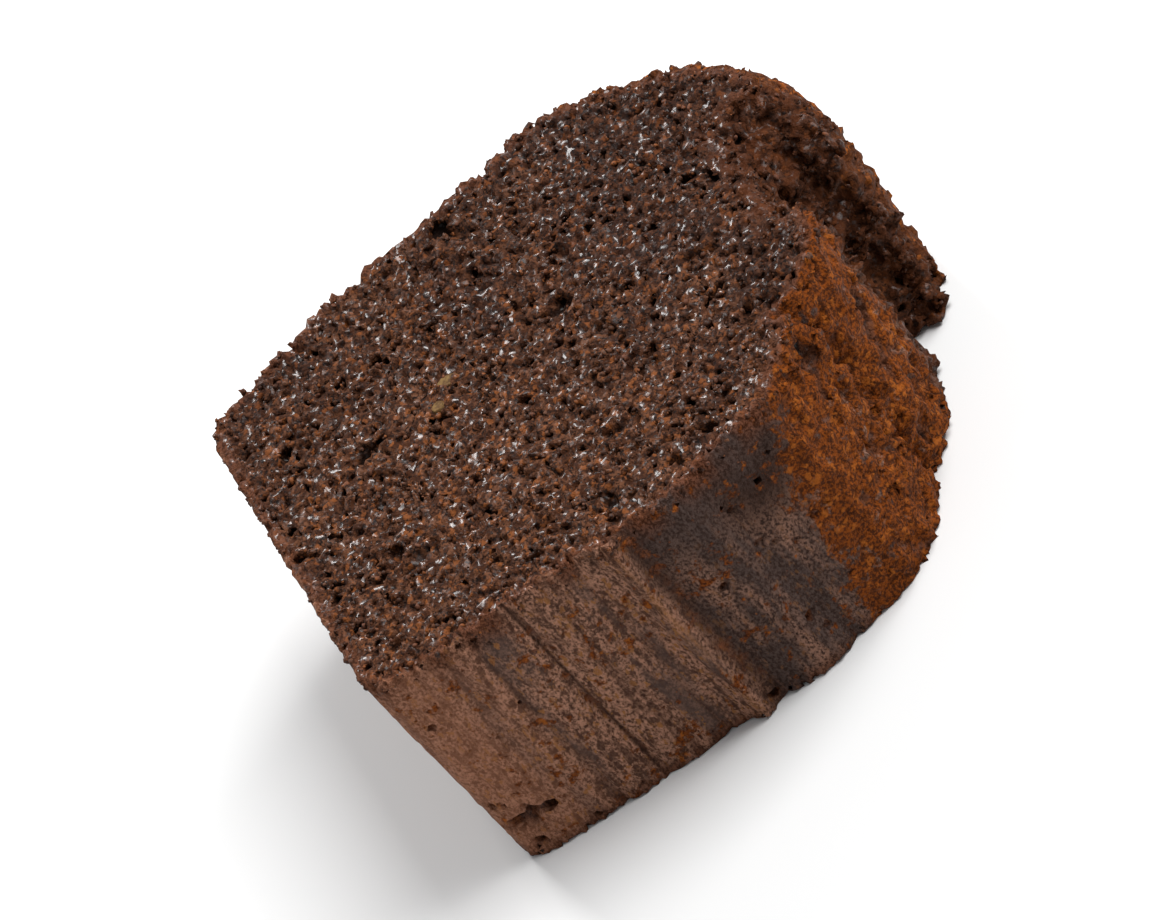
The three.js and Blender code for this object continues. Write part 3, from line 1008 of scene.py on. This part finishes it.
def wall_colours(nodes, crust, where):
    """The papered side: streaked and speckled low down, smooth and dark above its step."""
    drawn = nodes.add("ShaderNodeVectorMath", {0: where, 1: (1.0, 1.0, 0.16)},
                      operation="MULTIPLY").outputs["Vector"]
    streaks = nodes.noise(drawn, 1.1 * MM, detail=5.0, rough=0.7)
    smudges = nodes.noise(drawn, 4.5 * MM, detail=4.0)
    fine = grained(nodes, 0.36 * MM, 0.34, length=1.4)["Patches"]
    specks = grained(nodes, 0.66 * MM, 0.40, length=1.8)["Flecks"]
    specks = nodes.times(specks, nodes.ramp(streaks, 0.42, 0.54))
    wander = nodes.times(nodes.maths("SUBTRACT", smudges, 0.5), 10.0)
    level = nodes.plus(nodes.painted("height"), wander)

    low = low_wall(nodes, crust, fine, streaks, smudges, level, specks)
    high = high_wall(nodes, crust, fine, smudges, specks)
    whole = nodes.blend(nodes.ramp(level, STEP_FOOT, STEP_TOP), low, high)
    return wall_marks(nodes, crust, whole, fine, streaks, smudges)


def browned_top(nodes, crust, under, coarse, fine, edge):
    """The dome, and the shoulder with its flaps, laid over the colours of the side."""
    for zone, colour in (("dome", crust.dome_colour), ("shoulder", crust.shoulder_colour)):
        share = nodes.ramp(nodes.plus(nodes.painted(zone), edge), 0.25, 0.70)
        top = nodes.blend(nodes.ramp(fine["Patches"], 0.60, 0.40), colour, crust.top_shade)
        top = nodes.blend(nodes.ramp(coarse["Patches"], 0.44, 0.34), top, crust.top_shade)
        flecks = nodes.times(coarse["Flecks"], 0.7)
        top = nodes.blend(flecks, top, crust.top_fleck)
        under = nodes.blend(share, under, top)
    return under


def cake_material(crumb, crust):
    """Moist crumb inside, baked skin outside."""
    material, nodes, shader = new_material("chocolate_cake")
    where = nodes.place()
    coarse = grained(nodes, 0.95 * MM, 0.34)
    fine = grained(nodes, 0.42 * MM, 0.30)
    middle = nodes.noise(where, 1.6 * MM)
    rough_edge = nodes.times(nodes.maths("SUBTRACT", middle, 0.5), 3.0)
    wander = nodes.maths("MULTIPLY_ADD", nodes.noise(where, 6 * MM), 1.8, -0.9)
    edge = nodes.plus(rough_edge, wander)

    inside = crumb_colours(nodes, crumb, coarse, fine)
    outside = wall_colours(nodes, crust, where)
    outside = browned_top(nodes, crust, outside, coarse, fine, edge)
    skin = nodes.maths("MULTIPLY_ADD", rough_edge, 0.35, nodes.painted("skin_depth"))
    browned = nodes.ramp(skin, crust.rind / MM * 2.2, 0.3)
    browned = nodes.times(browned, 0.75)
    rind = nodes.ramp(fine["Patches"], 0.56, 0.40)
    rind = nodes.blend(rind, crust.rind_colour, crust.top_shade)
    whole = nodes.blend(browned, inside, rind)
    whole = nodes.blend(nodes.ramp(skin, 0.25, 0.75), outside, whole)
    torn = nodes.painted("torn")
    wetter = nodes.ramp(middle, 0.40, 0.60, out=(0.1, 0.7))
    whole = nodes.blend(torn, whole, nodes.blend(wetter, inside, crust.torn_colour))
    # painted shade down in the pores and pits
    whole = nodes.blend(nodes.ramp(nodes.painted("pore_shade"), 0.3, 1.5), whole, crumb.dark_crumb_and_shade)
    nodes.feed(shader.inputs["Base Color"], whole)

    wet = nodes.ramp(nodes.noise(where, 1.0 * MM, detail=2.0), 0.50, 0.60)
    torn_wet = nodes.times(nodes.times(torn, wet), 0.7)
    moist = nodes.times(wet, nodes.ramp(skin, 0.2, 0.8))
    moist = nodes.maths("MAXIMUM", moist, torn_wet)
    nodes.feed(shader.inputs["Roughness"], nodes.ramp(moist, 0.0, 1.0, out=(0.75, 0.45)))
    nodes.feed(shader.inputs["Coat Weight"], nodes.times(moist, 0.36))
    shader.inputs["Coat Roughness"].default_value = 0.22
    shader.inputs["Specular IOR Level"].default_value = 0.10

    height = nodes.plus(nodes.times(coarse["Height"], 1.5), fine["Height"])
    height = nodes.times(height, nodes.ramp(skin, 0.2, 0.8, out=(1.7, 1.0)))
    nodes.relief(shader, height, 0.7, 0.14 * MM)
    return material


def crumb_material(crumb, crust):
    """Loose crumbs, each a little paler, darker or redder than the next."""
    material, nodes, shader = new_material("loose_crumb")
    fine = grained(nodes, 0.3 * MM, 0.3)
    shade = nodes.painted("shade")
    colour = nodes.blend(nodes.ramp(shade, 0.35, 0.75), crumb.colour, crumb.light_colour)
    colour = nodes.blend(nodes.ramp(shade, 0.80, 0.90), colour, crumb.fleck_colour)
    browned = nodes.times(nodes.painted("browned"), 0.6)
    colour = nodes.blend(browned, colour, crust.rind_colour)
    # darker crumb with painted shade where the fine grain sinks
    colour = nodes.blend(nodes.ramp(fine["Patches"], 0.50, 0.38), colour, crumb.dark_crumb_and_shade)
    nodes.feed(shader.inputs["Base Color"], colour)
    nodes.feed(shader.inputs["Roughness"], nodes.ramp(fine["Patches"], 0.35, 0.65, out=(0.45, 0.8)))
    shader.inputs["Specular IOR Level"].default_value = 0.25
    nodes.relief(shader, fine["Height"], 0.5, 0.06 * MM)
    return material


def nut_material(crumb):
    """Dull tan nut, stained by the crumb round it."""
    material, nodes, shader = new_material("nut")
    grains = grained(nodes, 0.7 * MM, 0.2)
    pale = nodes.ramp(grains["Patches"], 0.40, 0.62)
    colour = nodes.blend(pale, crumb.nut_stain, crumb.nut_colour)
    colour = nodes.blend(nodes.times(grains["Flecks"], 0.5), colour, crumb.colour)
    nodes.feed(shader.inputs["Base Color"], colour)
    nodes.feed(shader.inputs["Roughness"], nodes.ramp(grains["Patches"], 0.3, 0.7, out=(0.6, 0.8)))
    shader.inputs["Specular IOR Level"].default_value = 0.1
    nodes.relief(shader, grains["Height"], 0.4, 0.08 * MM)
    return material


def floor_material(stage):
    """Plain, pale and matt."""
    material, nodes, shader = new_material("pale_floor")
    nodes.feed(shader.inputs["Base Color"], stage.floor_colour)
    shader.inputs["Roughness"].default_value = 0.9
    shader.inputs["Specular IOR Level"].default_value = 0.1
    return material


# ---------------------------------------------------------------- stage


def add_camera(scene, stage, middle):
    """A long-lensed camera that sees the slice from the photograph's side."""
    right = Vector(PICTURE_RIGHT)
    towards = Vector(TOWARDS_CAMERA).normalized()
    up = towards.cross(right).normalized()
    right = up.cross(towards)
    points = mesh_points(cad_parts[CAKE_NODE].data) * MM
    across, along = points @ np.array(right), points @ np.array(up)
    aim = (right * float(across.max() + across.min()) / 2
           + up * float(along.max() + along.min()) / 2 + towards * middle.dot(towards))
    seen = float(np.ptp(along)) / stage.filling

    data = bpy.data.cameras.new("Camera")
    data.sensor_width = SENSOR_WIDTH
    data.lens = SENSOR_WIDTH * stage.distance / (seen * PHOTO_WIDTH / PHOTO_HEIGHT)
    data.clip_start = 0.05
    data.clip_end = 50
    camera = bpy.data.objects.new("Camera", data)
    camera.rotation_mode = "QUATERNION"
    camera.rotation_quaternion = Matrix((right, up, towards)).transposed().to_quaternion()
    camera.location = aim + towards * stage.distance
    scene.collection.objects.link(camera)
    scene.camera = camera


def add_floor(scene, stage, level):
    """A plain square floor under the slice."""
    half = stage.floor / 2
    corners = [(x * half, y * half, level) for x, y in ((-1, -1), (1, -1), (1, 1), (-1, 1))]
    mesh = bpy.data.meshes.new("floor")
    mesh.from_pydata(corners, [], [(0, 1, 2, 3)])
    mesh.materials.append(floor_material(stage))
    floor = bpy.data.objects.new("floor", mesh)
    scene.collection.objects.link(floor)


def add_light(scene, middle):
    """A pale room and the soft lamps in it."""
    world = bpy.data.worlds.new("Soft room")
    world.use_nodes = True
    room = world.node_tree.nodes["Background"].inputs
    room["Color"].default_value = ROOM_COLOUR
    room["Strength"].default_value = ROOM_STRENGTH
    scene.world = world
    for name, towards, size, power in LIGHTS:
        lamp = bpy.data.lights.new(name, "AREA")
        lamp.shape = "SQUARE"
        lamp.size = size
        lamp.energy = power
        light = bpy.data.objects.new(name, lamp)
        place = middle + Vector(towards).normalized() * LIGHT_DISTANCE
        light.location = place
        light.rotation_euler = (place - middle).to_track_quat("Z", "Y").to_euler()
        scene.collection.objects.link(light)


# ---------------------------------------------------------------- operators


def attach(piece):
    """Makes a piece ride on the frame and stand for the cake's solid."""
    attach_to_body(piece, "root")
    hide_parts(CAKE_NODE)


class CAKE_OT_stage(bpy.types.Operator):
    """Sets the camera as the slice is seen, on a pale floor in soft light"""

    bl_idname = "cake.stage"
    bl_label = "Stage"

    def execute(self, context):
        scene = context.scene
        low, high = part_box(CAKE_NODE)
        middle = (low + high) / 2
        add_camera(scene, scene.cake_stage, middle)
        add_floor(scene, scene.cake_stage, low.z)
        add_light(scene, middle)
        scene.view_settings.view_transform = "Standard"
        return {"FINISHED"}


class CAKE_OT_slice(bpy.types.Operator):
    """Builds the slice: its crust, its open crumb and its torn top"""

    bl_idname = "cake.slice"
    bl_label = "Slice"

    def execute(self, context):
        scene = context.scene
        material = cake_material(scene.cake_crumb, scene.cake_crust)
        attach(slice_mesh(scene.cake_crumb, material))
        return {"FINISHED"}


class CAKE_OT_crumbs(bpy.types.Operator):
    """Scatters crumbs over the cut face, the rims and the torn top"""

    bl_idname = "cake.crumbs"
    bl_label = "Clinging crumbs"

    def execute(self, context):
        scene = context.scene
        material = crumb_material(scene.cake_crumb, scene.cake_crust)
        attach(clinging_crumbs(scene.cake_crumb, bpy.data.objects["slice"], material))
        return {"FINISHED"}


class CAKE_OT_nuts(bpy.types.Operator):
    """Sets bits of nut in the cut face"""

    bl_idname = "cake.nuts"
    bl_label = "Nut bits"

    def execute(self, context):
        attach(nut_bits(context.scene.cake_crumb, nut_material(context.scene.cake_crumb)))
        return {"FINISHED"}


class CAKE_PT_sidebar(bpy.types.Panel):
    """Lists what the cake is made of"""

    bl_label = "Cake"
    bl_idname = "CAKE_PT_sidebar"
    bl_space_type = "VIEW_3D"
    bl_region_type = "UI"
    bl_category = "Cake"

    def draw(self, context):
        for operator in OPERATORS:
            self.layout.operator(operator.bl_idname)
        for name, group in GROUPS.items():
            box = self.layout.box()
            box.label(text=group.__doc__)
            for prop in group.__annotations__:
                box.prop(getattr(context.scene, name), prop)


GROUPS = {
    "cake_crumb": CakeCrumbProperties,
    "cake_crust": CakeCrustProperties,
    "cake_stage": CakeStageProperties,
}
OPERATORS = (CAKE_OT_stage, CAKE_OT_slice, CAKE_OT_crumbs, CAKE_OT_nuts)
CLASSES = (*GROUPS.values(), *OPERATORS, CAKE_PT_sidebar)


def register():
    for kind in CLASSES:
        bpy.utils.register_class(kind)
    for name, group in GROUPS.items():
        setattr(bpy.types.Scene, name, PointerProperty(type=group))


def unregister():
    for name in GROUPS:
        delattr(bpy.types.Scene, name)
    for kind in reversed(CLASSES):
        bpy.utils.unregister_class(kind)


def main():
    register()
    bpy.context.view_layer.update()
    bpy.ops.cake.stage()
    bpy.ops.cake.slice()
    bpy.ops.cake.crumbs()
    bpy.ops.cake.nuts()


if __name__ == "__main__":
    main()
